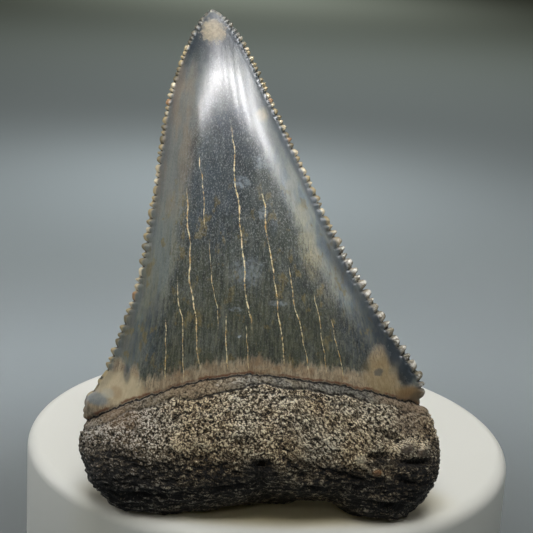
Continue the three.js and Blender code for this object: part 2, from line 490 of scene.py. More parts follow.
# The root takes its coarse grain from a fine mesh, finest on the side that shows. The fine mesh
# starts a little above the enamel's foot.
ROOT_MARGIN = 0.35
for lingual_side, cuts in ((True, 3), (False, 2)):
    middles = face_middles(mesh)
    root_faces = above_foot(middles) < ROOT_MARGIN
    pick(tooth, "FACE", root_faces & ((lingual_share(middles) > 0.5) == lingual_side))
    bpy.ops.mesh.subdivide(number_cuts=cuts, ngon=False)
    bpy.ops.mesh.vertices_smooth(factor=0.5, repeat=2)
    bpy.ops.object.mode_set(mode="OBJECT")

# The strip along the cutting edges is cut across, closely enough to hold each serration, and then
# once along. Mesh edges up to the longest lengths given here are left whole.
SERRATION_STRIP, EDGE_STRIP = 0.9, 0.6
LONGEST_ALONG, LONGEST_ACROSS = 0.35, 0.28
CUTS_ACROSS = 6
STRIP_FOOT, FAR_AWAY = 0.2, 9


def edge_facts(mesh):
    """Each mesh edge's length, its distance to the cutting line, and how much it runs along it.

    Edges at the enamel's foot and under it count as far away.
    """
    ends = np.empty(len(mesh.edges) * 2, int)
    mesh.edges.foreach_get("vertices", ends)
    places = vertex_places(mesh)
    first, second = places[ends[::2]], places[ends[1::2]]
    middle, along = (first + second) / 2, second - first
    step, distance = nearest(fine_line, middle)
    length = np.linalg.norm(along, axis=1)
    parallel = np.abs((along * tangents[step]).sum(1)) / np.maximum(length, 1e-9)
    distance[above_foot(middle) < STRIP_FOOT] = FAR_AWAY
    return length, distance, parallel


length, distance, parallel = edge_facts(mesh)
pick(tooth, "EDGE", (distance < SERRATION_STRIP) & (parallel > 0.8) & (length > LONGEST_ALONG))
bpy.ops.mesh.subdivide(number_cuts=CUTS_ACROSS, ngon=False)
bpy.ops.object.mode_set(mode="OBJECT")
length, distance, parallel = edge_facts(mesh)
pick(tooth, "EDGE", (distance < EDGE_STRIP) & (parallel < 0.6) & (length > LONGEST_ACROSS))
bpy.ops.mesh.subdivide(number_cuts=1, ngon=False)
bpy.ops.object.mode_set(mode="OBJECT")

places = vertex_places(mesh)
normals = read_vectors(mesh.vertices, "normal") @ lean.T
foot_distance = above_foot(places)
side = lingual_share(places)


def varied(numbers, seed, low, high):
    """The same chance value for the same number, between low and high."""
    chance = np.abs(np.sin(numbers * 12.9898 + seed * 78.233) * 43758.5453) % 1
    return low + (high - low) * chance


# Serrations: small round beads with narrow notches between them, no two alike. They are wider
# apart down the edges, worn low near the tip on the left, and give way to low waves at the ends.
tip_step = int(np.argmax(fine_line[:, 2]))
heights = fine_line[:, 2]
on_right = np.arange(len(fine_line)) > tip_step
pitch = 0.60 + 0.34 * smoothstep(50 - heights, 0, 24) + 0.26 * on_right * smoothstep(28 - heights, 0, 14)
bead_count = np.cumsum(STEP / pitch)
bead_count -= bead_count[tip_step]
bead_count += 0.16 * np.sin(bead_count * 1.9) + 0.07 * np.sin(bead_count * 4.3 + 1)
bead_number = np.floor(bead_count)
across_bead = (bead_count - bead_number) * 2 - 1
bead_shape = np.clip(1 - across_bead**2, 0, 1) ** 0.75
at_ends = smoothstep(heights, np.where(on_right, 12.0, 13.0), np.where(on_right, 14.5, 14.8))
at_tip = smoothstep(np.abs(fine_length - fine_length[tip_step]), 0.6, 2.6)
worn = np.where(on_right, 1, 0.6 + 0.4 * smoothstep(47 - heights, 0, 4))
bead_height = (0.44 + 0.2 * smoothstep(42 - heights, 0, 14)) * varied(bead_number, 1, 0.6, 1.15)
bead_height *= 1 + 0.3 * on_right * smoothstep(33 - heights, 0, 5)
bead_height *= (0.22 + 0.78 * at_ends) * (0.15 + 0.85 * at_tip) * worn
low_waves = 0.16 * np.sin(fine_length * 2.6) * (1 - at_ends)

step, edge_distance = nearest(fine_line, places)
outwards = np.stack([-tangents[:, 2], np.zeros(len(tangents)), tangents[:, 0]], 1)
outwards /= np.linalg.norm(outwards, axis=1)[:, None]
strip_width = 0.6 + 0.35 * smoothstep(40 - heights[step], 0, 12)
near_edge = (1 - smoothstep(edge_distance / strip_width, 0.08, 1)) * (foot_distance > 0)
bead = bead_shape[step]
bead_tone = varied(bead_number, 3, 0, 1)[step]
lift = (bead_height[step] * (bead - 0.4) + low_waves[step]) * near_edge
places += outwards[step] * lift[:, None]
swell = (bead - 0.5) * (0.10 + 0.14 * (on_right & (heights < 32))[step])
swell *= np.minimum(1, bead_height[step] / 0.3)
swell *= np.exp(-((edge_distance / strip_width - 0.3) / 0.32) ** 2) * (foot_distance > 0)
places += normals * swell[:, None]

# A rounded knob at the left heel of the crown.
KNOB_X, KNOB_Z, KNOB_REACH = -19.7, 10.3, 1.3
KNOB_OUT, KNOB_SWELL = 0.25, 0.35
knob = np.exp(-((places[:, 0] - KNOB_X) ** 2 + (places[:, 2] - KNOB_Z) ** 2) / KNOB_REACH**2)
knob *= foot_distance > 0
places[:, 0] -= KNOB_OUT * knob
places += normals * (KNOB_SWELL * knob * smoothstep(edge_distance, 0, 0.8))[:, None]

# Behind, the arch between the lobes comes a little lower than in front.
ARCH_DROP, ARCH_X, ARCH_REACH = 1.3, 1, 7
behind = smoothstep(-normals[:, 2], 0.1, 0.6) * smoothstep(places[:, 1], -6, -2) * (places[:, 2] < 7)
places[:, 2] -= ARCH_DROP * behind * np.exp(-((places[:, 0] - ARCH_X) / ARCH_REACH) ** 2)

# The enamel ends in a low jagged step. Under it runs a narrow neck, a dark line, and the grain.
jag = np.array([
    0.20 * noise.noise((x * 0.6, share * 9, 0)) + 0.15 * noise.noise((x * 1.7, share * 9, 5))
    for x, share in zip(places[:, 0].tolist(), side.tolist())
])
foot_distance += jag
neck_width = 0.8 + 0.7 * np.exp(-((places[:, 0] + 7) / 3.5) ** 2) + 0.14 * np.sin(places[:, 0] * 1.3)
below_neck = foot_distance + neck_width
enamel_step = 0.10 * smoothstep(foot_distance, -0.05, 0.2) * (1 - smoothstep(foot_distance, 0.5, 2.5))
enamel_groove = -0.12 * np.exp(-((foot_distance + 0.08) / 0.10) ** 2)
neck_groove = -0.16 * np.exp(-((below_neck + 0.1) / 0.15) ** 2)


def root_relief(place):
    """Relief of the root at a place: broad lumps, pebbles, worm-like ridges and level streaks."""
    x, y, z = place
    lumps = noise.fractal((x * 0.26, y * 0.26, z * 0.26), 1.0, 2.0, 3)
    bend = noise.noise_vector((x * 0.5, y * 0.5, z * 0.5))
    flow = max(0, min(1, (x - 1) / 5))
    u, v, w = x + 0.5 * bend.x, y + 0.5 * bend.y, z + 0.5 * bend.z
    along, across = u - w * 0.75 * flow, w + u * 0.75 * flow
    pebbles = noise.noise((along * 1.9, v * 2.3, across * 2.6))
    worms = 1 - 3.4 * abs(noise.noise((along * 1.5 + 40, v * 1.5, across * 2.0)))
    level = noise.noise((u * 0.8, v * 1.2, w * 3.4))
    return lumps, pebbles, worms, level


RELIEF_SEED = 7  # without it the bends of the relief would be drawn anew in every run
noise.seed_set(RELIEF_SEED)
LUMP_HEIGHT, GRAIN_HEIGHT = 0.30, 0.28
on_root = foot_distance < 0.4
relief_parts = np.zeros((len(places), 4))
relief_parts[on_root] = [root_relief(place) for place in places[on_root].tolist()]
lumps, pebbles, worms, level = relief_parts.T
low_down = 1 - smoothstep(places[:, 2], 2.0, 6.5)
grain_strength = 0.3 * smoothstep(-foot_distance, 0.1, 0.4) + 0.7 * smoothstep(-below_neck, 0, 0.5)
coarse = (0.60 * pebbles + 0.45 * worms) * (1 - 0.5 * low_down) + 1.9 * level * low_down
root_lift = LUMP_HEIGHT * lumps * smoothstep(-foot_distance, 0.5, 4)
root_lift += GRAIN_HEIGHT * (1 - 0.45 * low_down) * coarse * grain_strength

# Knobs, pits and grooves of the root: place x and z, reach along and across, turn in degrees, and
# lift. Each also shows in the tone of the grain, lighter on knobs and darker in pits and grooves: painted
# light and shade.
LIFT_SHARE, TONE_SHARE = 1.4, 2.4
for x, z, reach, width, turn, height in (
    (-1.1, 6.2, 0.8, 0.5, 0, -0.7), (-0.9, 4.2, 0.5, 1.6, 0, -0.4), (14.9, 7.8, 0.75, 0.6, 0, 0.62),
    (16.7, 7.2, 0.7, 0.5, 0, 0.5), (15.9, 6.3, 2.0, 0.3, -6, -0.6), (11.4, 7.1, 1.3, 0.3, 0, -0.55),
    (9.6, 6.9, 0.7, 0.5, 0, 0.35), (13.4, 8.8, 2.2, 0.3, -28, -0.32), (12.0, 5.2, 2.6, 0.4, -22, 0.36),
    (8.6, 5.0, 2.4, 0.3, -18, -0.34), (14.6, 4.4, 2.2, 0.35, -15, -0.4),
    (-9.0, 8.0, 2.6, 0.5, 12, 0.16), (-15.6, 5.6, 2.0, 0.4, -20, -0.22), (-4.8, 3.4, 2.6, 0.3, 6, -0.3),
    (3.6, 4.4, 2.4, 0.4, -10, 0.3), (5.4, 3.4, 2.6, 0.3, -6, -0.32), (17.0, 10.4, 1.0, 0.8, -30, 0.4),
    (17.6, 8.8, 1.6, 0.35, -50, -0.2), (-12.0, 3.0, 3.0, 0.4, 4, 0.25), (6.0, 8.6, 2.8, 0.4, -30, 0.14),
    (-17.8, 8.0, 1.4, 0.6, 20, 0.2), (-19.8, 6.8, 0.9, 1.4, 0, 0.25), (10.6, 2.6, 2.6, 0.4, -10, 0.32),
    (13.0, 1.7, 2.4, 0.35, -12, -0.34), (-14.5, 1.9, 2.6, 0.35, 8, -0.25),
    (0.8, 8.2, 0.4, 2.2, 20, -0.14), (-6.0, 5.6, 3.0, 0.35, 8, -0.16),
):
    turned = math.radians(turn)
    aside, rise = places[:, 0] - x, places[:, 2] - z
    along = (aside * math.cos(turned) + rise * math.sin(turned)) / reach
    across = (rise * math.cos(turned) - aside * math.sin(turned)) / width
    feature = LIFT_SHARE * height * np.exp(-(along**2) - across**2) * side * (foot_distance < 0)
    root_lift += feature
    coarse += TONE_SHARE * feature
places += normals * (enamel_step + enamel_groove + neck_groove + root_lift)[:, None]

# The relief also sets the grain's tone, higher places lighter: partly painted light and shade.
relief = np.clip(0.5 + 0.75 * coarse, 0, 1)
row_places = from_tooth(places)
row_places[:, 2] = np.maximum(row_places[:, 2], TOOTH_FOOT[2] / 1000)
mesh.vertices.foreach_set("co", row_places.ravel())
for name, values in (
    ("foot_distance", foot_distance), ("below_neck", below_neck), ("edge_distance", edge_distance),
    ("bead", bead), ("bead_tone", bead_tone), ("relief", relief), ("lingual", side),
):
    attribute = mesh.attributes.new(name, "FLOAT", "POINT")
    attribute.data.foreach_set("value", values.astype(np.float32))
mesh.update()
edit(tooth)
bpy.ops.object.mode_set(mode="EDIT")
bpy.ops.mesh.select_all(action="SELECT")
bpy.ops.mesh.normals_make_consistent(inside=False)
bpy.ops.object.mode_set(mode="OBJECT")
bpy.ops.object.shade_smooth()

# The tooth's finish. Effects used over and over are node groups.


def new_group(name, inputs):
    """A node group that gives one mask: its tree, its inputs' outputs by name, and its result node."""
    group = bpy.data.node_groups.new(name, "ShaderNodeTree")
    for socket, kind, value in inputs:
        item = group.interface.new_socket(socket, in_out="INPUT", socket_type="NodeSocket" + kind)
        if value is not None:
            item.default_value = value
    group.interface.new_socket("Mask", in_out="OUTPUT", socket_type="NodeSocketFloat")
    entry = add_node(group, "NodeGroupInput")
    result = add_node(group, "NodeGroupOutput")
    return group, {socket.name: socket for socket in entry.outputs}, result


def use_group(tree, group, **values):
    """The mask that a group gives for these values of its inputs."""
    node = add_node(tree, "ShaderNodeGroup", node_tree=group)
    for name, value in values.items():
        feed(tree, node.inputs[name.replace("_", " ")], value)
    return node.outputs["Mask"]


def split(tree, vector):
    """The three parts of a vector."""
    node = add_node(tree, "ShaderNodeSeparateXYZ")
    feed(tree, node.inputs[0], vector)
    return node.outputs


# A hairline crack up the enamel, filled with pale sediment: it has its place across, its lean and
# bow, its middle height, half length and width, and breaks off here and there.
crack_group, given, result = new_group("hairline_crack", [
    ("Aside", "Float", 0.0), ("Up", "Float", 0.0), ("Breaks", "Float", 0.5), ("Across", "Float", 0.0),
    ("Slope", "Float", 0.0), ("Bow", "Float", 0.0), ("Middle", "Float", 0.0), ("Half Length", "Float", 5.0),
    ("Width", "Float", 0.1),
])
rise = maths(crack_group, "SUBTRACT", given["Up"], given["Middle"])
line = maths(crack_group, "MULTIPLY_ADD", rise, given["Slope"], given["Across"])
line = maths(crack_group, "MULTIPLY_ADD", maths(crack_group, "MULTIPLY", rise, rise), given["Bow"], line)
width = ramp(crack_group, given["Breaks"], 0.35, 0.7, 0.55, 1.9)
width = maths(crack_group, "MULTIPLY", given["Width"], width)
aside = maths(crack_group, "ABSOLUTE", maths(crack_group, "SUBTRACT", given["Aside"], line))
core = ramp(crack_group, maths(crack_group, "DIVIDE", aside, width), 0.3, 1.0, 1.0, 0.0)
far = maths(crack_group, "DIVIDE", maths(crack_group, "ABSOLUTE", rise), given["Half Length"])
core = maths(crack_group, "MULTIPLY", core, ramp(crack_group, far, 0.7, 1.0, 1.0, 0.0))
core = maths(crack_group, "MULTIPLY", core, ramp(crack_group, given["Breaks"], 0.36, 0.54, 0.2, 1.0))
feed(crack_group, result.inputs["Mask"], core)

# A patch of stain or sediment with an edge made ragged by a noise.
patch_group, given, result = new_group("ragged_patch", [
    ("Place", "Vector", None), ("Centre", "Vector", (0, 0, 0)), ("Reach", "Vector", (1, 1, 1)),
    ("Ragged", "Float", 0.0), ("Soft", "Float", 0.3),
])
away = vector_maths(patch_group, "SUBTRACT", given["Place"], given["Centre"])
away = vector_maths(patch_group, "DIVIDE", away, given["Reach"])
reach = maths(patch_group, "ADD", vector_maths(patch_group, "LENGTH", away), given["Ragged"])
inner = maths(patch_group, "SUBTRACT", 1.0, given["Soft"])
outer = maths(patch_group, "ADD", 1.0, given["Soft"])
feed(patch_group, result.inputs["Mask"], ramp(patch_group, reach, inner, outer, 1.0, 0.0))

# Specks or streaks: the tops of a noise drawn out by its own scale along each axis.
speck_group, given, result = new_group("specks", [
    ("Place", "Vector", None), ("Stretch", "Vector", (1, 1, 1)), ("From", "Float", 0.5),
    ("To", "Float", 0.6),
])
speck_place = vector_maths(speck_group, "MULTIPLY", given["Place"], given["Stretch"])
speck_noise = noise_texture(speck_group, speck_place, scale=1.0, detail=2, roughness=0.6)
feed(speck_group, result.inputs["Mask"], ramp(speck_group, speck_noise, given["From"], given["To"]))

tooth_material, tree, shader = new_material("fossil_tooth_surface")
place = object_place(tree, Rotation=(LEAN_BACK, 0, 0), Location=tuple(-(lean @ TOOTH_FOOT)))
x, _, z = split(tree, place)


def fade(value, start, end, low=0.0, high=1.0):
    return ramp(tree, value, start, end, low, high)


def point_value(name):
    """A value held at the mesh's points."""
    return add_node(tree, "ShaderNodeAttribute", attribute_name=name).outputs["Fac"]


def specks(stretch, start, end):
    return use_group(tree, speck_group, Place=place, Stretch=stretch, From=start, To=end)


def swing(value, size):
    """A noise's value, from its middle, times a size."""
    return maths(tree, "MULTIPLY", maths(tree, "SUBTRACT", value, 0.5), size)


broad_swing = swing(noise_texture(tree, place, scale=0.7, detail=4, roughness=0.6), 1.0)
close_swing = swing(noise_texture(tree, place, scale=1.9, detail=3, roughness=0.65), 1.0)


def patch(centre, reach, ragged=0.8, soft=0.35, swings=broad_swing):
    return use_group(
        tree, patch_group, Place=place, Centre=centre, Reach=reach,
        Ragged=maths(tree, "MULTIPLY", swings, ragged), Soft=soft,
    )


def part_of(share, *others):
    """The product of several masks."""
    for other in others:
        share = maths(tree, "MULTIPLY", share, other)
    return share


def opposite(share):
    return maths(tree, "SUBTRACT", 1.0, share)


def scaled(value, factor, base):
    """A value times a factor, on top of a base."""
    return maths(tree, "MULTIPLY_ADD", value, factor, base)


def larger(first, second):
    return maths(tree, "MAXIMUM", first, second)


def tinted(base, tint, *shares):
    """A colour with another laid over it, by the product of the shares."""
    return blend(tree, part_of(*shares), base, colour(*tint))


def stained_and_shaded(base, rows, **settings):
    """A colour with patches laid over it: the centre, reach, colour and share of each."""
    for centre, reach, tint, share in rows:
        base = tinted(base, tint, patch(centre, reach, **settings), share)
    return base


foot_swing = swing(noise_texture(tree, place, scale=2.6, detail=2), 0.3)
foot = maths(tree, "ADD", point_value("foot_distance"), foot_swing)
neck_foot = point_value("below_neck")
edge = point_value("edge_distance")
bead_value = point_value("bead")
bead_tone = point_value("bead_tone")
relief_value = point_value("relief")
lingual = point_value("lingual")
on_enamel = fade(foot, -0.04, 0.04)
right_side = fade(scaled(z, 0.32, x), 3.0, 7.0)

# Enamel: slate grey, more olive and darker low down, warmer on the bevels and painted lighter there for the
# light they catch.
clouds = noise_texture(tree, place, scale=0.16, detail=4)
enamel = blend(tree, fade(clouds, 0.35, 0.65), colour(66, 76, 86), colour(78, 84, 78))
enamel = tinted(enamel, (76, 79, 63), fade(z, 36, 17), fade(edge, 2.5, 5), 0.9)
streaks = specks((0.9, 0.9, 0.16), 0.38, 0.62)
# Painted light: the bevels are painted lighter than the panel for the light they catch, on top of their
# warmer tone; the right bevel is darker again at its top.
bevel = fade(scaled(right_side, 0.4, edge), 3.5, 5.1, 1.0, 0.0)
left_bevel = blend(tree, streaks, colour(125, 133, 130), colour(137, 139, 127))
warm_bevel = blend(tree, streaks, colour(124, 126, 122), colour(142, 132, 118))
left_bevel = blend(tree, fade(z, 26, 40), left_bevel, warm_bevel)
right_bevel = blend(tree, streaks, colour(128, 140, 147), colour(154, 159, 152))
right_bevel = tinted(right_bevel, (84, 92, 92), fade(z, 35, 41), 0.7)
painted_lit_bevel_colour = blend(tree, right_side, left_bevel, right_bevel)
enamel = blend(tree, part_of(bevel, 0.9), enamel, painted_lit_bevel_colour)
enamel = stained_and_shaded(enamel, (
    ((2.4, -2, 32.0), (0.7, 3, 1.8), (186, 180, 148), 0.45),
    ((3.0, -2, 29.6), (0.9, 3, 1.6), (190, 182, 144), 0.5),
    ((3.9, -2, 27.2), (1.0, 3, 1.5), (196, 184, 142), 0.5),
    ((-2.4, -0.7, 43.0), (0.6, 2, 0.7), (190, 176, 140), 0.5),
    ((5.8, -2, 25.4), (1.3, 3, 1.8), (146, 144, 124), 0.35),
    ((-8.0, 0, 50.8), (3.4, 4, 3.0), (46, 53, 60), 0.9),
    ((-5.6, -3, 38.5), (2.6, 3, 6.5), (58, 68, 84), 0.5),
    ((10.6, -2.2, 19.2), (4.6, 3, 3.2), (46, 56, 66), 0.85),
    ((-14.5, -1.9, 17.4), (0.7, 3, 1.5), (146, 138, 104), 0.6),
    ((-15.6, -0.8, 17.4), (0.8, 3, 2.4), (56, 66, 74), 0.6),
    ((-14.9, -2, 17.8), (2.4, 3, 3.0), (92, 104, 110), 0.6),
    ((-13.0, -2, 18.6), (1.6, 3, 4.6), (62, 72, 80), 0.6),
    ((-16.3, -1, 19.6), (0.8, 3, 3.4), (136, 132, 118), 0.5),
    ((-2.4, -3, 32.5), (2.4, 3, 4.5), (50, 58, 64), 0.5),
    ((-8.6, -3, 36.0), (1.6, 3, 5.0), (78, 90, 102), 0.45),
), ragged=1.3, soft=0.6)
hazy = specks((0.55, 0.55, 0.28), 0.46, 0.68)
enamel = tinted(enamel, (126, 131, 126), hazy, 0.32)
on_panel = fade(edge, 2.6, 4.6, 0.3, 1.0)
murky = specks((0.75, 0.75, 0.33), 0.46, 0.64)
enamel = tinted(enamel, (46, 54, 58), murky, on_panel, 0.4)
olive_spots = part_of(specks((0.9, 0.9, 0.55), 0.58, 0.67), fade(z, 38, 32))
enamel = tinted(enamel, (128, 114, 70), olive_spots, 0.6)
fibres = specks((3.4, 3.4, 0.16), 0.42, 0.66)
enamel = tinted(enamel, (130, 130, 108), fibres, fade(z, 38, 20), 0.36)
dark_fibres = specks((4.2, 4.2, 0.22), 0.48, 0.64)
enamel = tinted(enamel, (40, 44, 42), dark_fibres, on_panel, fade(z, 40, 24, 0.25, 0.6))
pale_specks = specks((8.0, 8.0, 5.0), 0.50, 0.66)
enamel = tinted(enamel, (176, 180, 178), pale_specks, on_panel, fade(z, 18, 32, 0.14, 0.38))
dark_specks = specks((6.6, 6.6, 3.4), 0.50, 0.64)
enamel = tinted(enamel, (34, 39, 42), dark_specks, on_panel, 0.4)

# Pale scuffs: place, reach and strength.
scuff_grain = specks((2.6, 2.6, 2.2), 0.3, 0.7)
for centre, reach, share in (
    ((-4.3, -3, 35.7), (0.9, 3, 0.6), 0.5), ((-1.9, -3, 32.5), (0.5, 3, 0.7), 0.45),
    ((-3.4, -4, 26.2), (1.6, 3, 1.5), 0.3), ((-4.4, -4, 22.1), (0.7, 3, 0.25), 0.5),
    ((0.1, -4, 22.9), (0.9, 3, 0.3), 0.45), ((-2.4, -4, 37.9), (0.9, 3, 1.0), 0.35),
    ((-0.6, -3, 31.6), (0.4, 3, 1.4), 0.15), ((-3.9, -5, 19.2), (0.2, 3, 0.2), 1.0),
):
    scuff = patch(centre, reach, ragged=1.2, swings=close_swing)
    enamel = tinted(enamel, (172, 184, 194), scuff, scuff_grain, share)

# Cracks: side, place across, slope, bow, middle height, half length and half width.
wander = swing(noise_texture(tree, place, scale=0.22, detail=3, roughness=0.45), 1.3)
wandered = maths(tree, "ADD", x, wander)
breaks_place = mapped(tree, place, Scale=(1.3, 0, 2.2))
breaks = noise_texture(tree, breaks_place, scale=1.0, detail=2, roughness=0.7)
labial = opposite(lingual)
crack_mask = 0.0
for side_mask, across, slope, bow, middle, half, width in (
    (lingual, -9.3, -0.115, 0.002, 25.1, 10.4, 0.085), (lingual, -8.5, -0.15, 0.0, 34.6, 4.2, 0.05),
    (lingual, -4.3, -0.14, 0.001, 30.8, 11.6, 0.085), (lingual, -0.4, -0.175, -0.001, 25.6, 10.4, 0.08),
    (lingual, 2.5, -0.245, 0.004, 21.0, 6.4, 0.055), (lingual, -10.2, -0.1, 0.0, 19.3, 6.2, 0.05),
    (lingual, -11.9, -0.06, 0.0, 17.2, 3.6, 0.045), (lingual, -5.3, -0.1, 0.0, 18.6, 3.2, 0.055),
    (lingual, -3.0, -0.12, 0.0, 17.8, 2.8, 0.045), (lingual, 4.9, -0.2, 0.002, 19.8, 4.6, 0.04),
    (lingual, 6.8, -0.28, 0.0, 17.9, 3.6, 0.045), (lingual, -6.9, -0.13, 0.0, 24.5, 5.0, 0.03),
    (labial, -7.6, -0.05, 0.003, 27.0, 13.0, 0.075), (labial, -1.8, -0.12, 0.002, 24.0, 10.5, 0.085),
    (labial, 2.9, -0.24, 0.003, 20.5, 7.5, 0.06), (labial, -12.0, 0.02, 0.0, 17.5, 6.0, 0.05),
    (labial, 7.4, -0.34, 0.0, 17.2, 4.2, 0.045),
):
    crack = use_group(
        tree, crack_group, Aside=wandered, Up=z, Breaks=breaks, Across=across, Slope=slope, Bow=bow,
        Middle=middle, Half_Length=half, Width=width,
    )
    crack_mask = larger(crack_mask, part_of(crack, side_mask))

# Stained foot of the enamel: a tan band with fine upright fibres, wider at both corners.
ragged_foot = scaled(broad_swing, 1.2, foot)
ragged_foot = maths(tree, "ADD", swing(specks((2.4, 2.4, 0.3), 0.3, 0.7), 0.9), ragged_foot)
band = fade(ragged_foot, 0.9, 2.1, 1.0, 0.0)
for centre, reach in (
    ((-17.6, -1, 11.8), (3.2, 4, 2.2)), ((-15.2, -2, 13.6), (0.6, 4, 1.5)),
    ((-16.9, -1, 14.2), (0.8, 4, 1.3)), ((11.8, -2, 15.8), (1.3, 4, 2.3)),
    ((11.4, -2.5, 14.4), (3.0, 4, 1.3)), ((14.6, -1, 12.9), (2.2, 4, 1.0)),
):
    band = larger(band, patch(centre, reach, ragged=0.9))
band_fibres = specks((2.4, 2.4, 0.35), 0.35, 0.65)
tan = blend(tree, band_fibres, colour(144, 127, 101), colour(180, 164, 137))
tan = tinted(tan, (142, 110, 76), specks((0.5, 0.5, 0.7), 0.5, 0.66), 0.6)
tan = tinted(tan, (98, 84, 66), dark_fibres, 0.45)
tan = tinted(tan, (80, 68, 53), dark_specks, 0.45)
enamel = blend(tree, part_of(band, 0.92), enamel, tan)
enamel = stained_and_shaded(enamel, (
    ((-16.8, -1, 12.4), (3.2, 4, 1.7), (204, 191, 158), 0.65),
    ((12.4, -2, 15.0), (2.6, 4, 2.2), (138, 120, 82), 0.6),
    ((-17.0, -1, 11.8), (0.7, 3, 0.7), (140, 108, 74), 0.4),
    ((-19.2, -1, 10.9), (1.3, 3, 0.7), (112, 126, 134), 0.7),
    ((-18.0, -1, 11.6), (0.7, 3, 0.5), (172, 170, 156), 0.6),
    ((-16.0, -1.6, 14.0), (0.4, 3, 1.0), (60, 68, 74), 0.6),
    ((15.1, -0.8, 15.3), (1.2, 3, 1.7), (38, 46, 52), 0.9),
    ((13.5, -0.8, 17.7), (0.9, 3, 1.8), (42, 52, 60), 0.85),
    ((15.6, -1, 12.7), (1.9, 3, 0.9), (122, 94, 56), 0.75),
    ((16.6, -1, 12.2), (0.9, 3, 0.8), (70, 60, 40), 0.6),
))
dark_spot = part_of(patch((11.7, -2, 15.4), (0.46, 3, 0.4), ragged=1.8, swings=close_swing), lingual)
enamel = tinted(enamel, (52, 60, 64), dark_spot, 0.7)
sediment = blend(tree, specks((2.0, 2.0, 1.2), 0.4, 0.65), colour(250, 236, 190), colour(190, 152, 84))
enamel = blend(tree, part_of(crack_mask, fade(foot, 0.2, 1.4, 0.35, 1.0)), enamel, sediment)

# Worn spot at the tip, the darker strip behind the serrations, and the pale beads themselves, with painted
# white glints on the beads low on the right.
behind_beads = part_of(
    fade(edge, 0.3, 0.5), fade(edge, 0.7, 1.5, 1.0, 0.0), fade(foot, 0.5, 3),
    fade(right_side, 0.0, 1.0, 0.3, 0.7),
)
right_low = part_of(right_side, fade(z, 33, 27))
low_strip = part_of(right_low, fade(edge, 3.0, 1.2), fade(foot, 1.5, 3), 0.75)
behind_beads = larger(behind_beads, low_strip)
enamel = tinted(enamel, (46, 56, 64), behind_beads)
tip_spot = part_of(patch((-8.1, 0.3, 51.75), (1.3, 2, 1.15), ragged=1.8, swings=close_swing), lingual)
spot_colour = blend(tree, specks((2.6, 2.6, 2.6), 0.4, 0.6), colour(160, 148, 122), colour(132, 122, 100))
enamel = blend(tree, part_of(tip_spot, 0.88), enamel, spot_colour)
bead_colour = blend(tree, fade(bead_tone, 0.15, 0.45), colour(122, 112, 86), colour(170, 154, 116))
bead_colour = tinted(bead_colour, (208, 196, 166), fade(bead_tone, 0.6, 0.9))
bead_colour = tinted(bead_colour, (160, 126, 90), fade(bead_tone, 0.93, 0.97))
ridge_place = maths(tree, "DIVIDE", edge, scaled(right_low, 0.7, 1.0))
on_bead = part_of(
    fade(ridge_place, 0.22, 0.42, 1.0, 0.0), fade(foot, 0.6, 3.0),
    fade(scaled(right_side, -1.6, z), 50.0, 48.6, 0.25, 1.0),
)
bead_colour = tinted(bead_colour, (112, 108, 96), right_low, 0.7)
# Painted highlight: white glints on the tops of the beads low on the right.
painted_glint = part_of(right_low, fade(bead_value, 0.8, 0.98), fade(close_swing, -0.12, 0.08))
bead_colour = tinted(bead_colour, (246, 242, 232), painted_glint)
bead_shade = blend(tree, fade(bead_value, 0.3, 0.8), colour(34, 36, 34), bead_colour)
enamel = blend(tree, on_bead, enamel, bead_shade)

# The enamel's very edge, rusty here and there.
enamel = tinted(
    enamel, (112, 64, 34), fade(foot, 0.02, 0.06), fade(foot, 0.12, 0.32, 1.0, 0.0),
    fade(broad_swing, -0.15, 0.05), 0.8,
)

# Root: coarse bone of small rounded grains, near black between them and pale tan on their tops: partly the
# bone's own tone, partly painted shade in the pits and painted highlight on the tops. The grains run aslant
# on the right and are drawn out level low down.
warp = add_node(tree, "ShaderNodeTexNoise")
feed(tree, warp.inputs["Vector"], place)
warp.inputs["Scale"].default_value = 1.7
warp.inputs["Detail"].default_value = 2
warped = vector_maths(tree, "MULTIPLY_ADD", warp.outputs["Color"], (0.5, 0.5, 0.5), place)


def grains(size, turn=0.0):
    """Rounded grains of that size in millimetres, 1 at their tops and 0 between them, turned aslant."""
    turned = mapped(tree, warped, "TEXTURE", Rotation=(0, math.radians(turn), 0), Scale=size)
    cells = add_node(tree, "ShaderNodeTexVoronoi", feature="F1")
    feed(tree, cells.inputs["Vector"], turned)
    cells.inputs["Scale"].default_value = 1.0
    squared = maths(tree, "MULTIPLY", cells.outputs["Distance"], cells.outputs["Distance"])
    return maths(tree, "MULTIPLY_ADD", squared, -1.5, 1.0, clamp=True)


def mix_number(share, first, second):
    node = add_node(tree, "ShaderNodeMix", data_type="FLOAT")
    for socket, value in zip((0, 2, 3), (share, first, second)):
        feed(tree, node.inputs[socket], value)
    return node.outputs[0]


low_share = fade(scaled(broad_swing, 3.0, z), 8.0, 4.8)
root_ends = fade(maths(tree, "ABSOLUTE", maths(tree, "ADD", x, 1.0)), 13.5, 17.5)
grain = mix_number(fade(x, 0.0, 5.0), grains((0.29, 0.29, 0.26)), grains((0.44, 0.28, 0.24), 38))
grain = mix_number(low_share, grain, grains((0.75, 0.45, 0.30)))
fine_grain = specks((5.5, 5.5, 5.5), 0.36, 0.64)
rough = fade(noise_texture(tree, warped, scale=5.2, detail=2, roughness=0.6), 0.3, 0.7)
in_neck = fade(neck_foot, -0.2, 0.1)
tops = scaled(grain, 0.42, maths(tree, "MULTIPLY", relief_value, 0.28))
tops = scaled(rough, 0.34, scaled(fine_grain, 0.14, tops))
# Low down and towards the ends the grain is darker; low down this is painted shade.
tops = scaled(low_share, -0.18, scaled(root_ends, -0.07, tops))
region = noise_texture(tree, place, scale=0.2, detail=3)
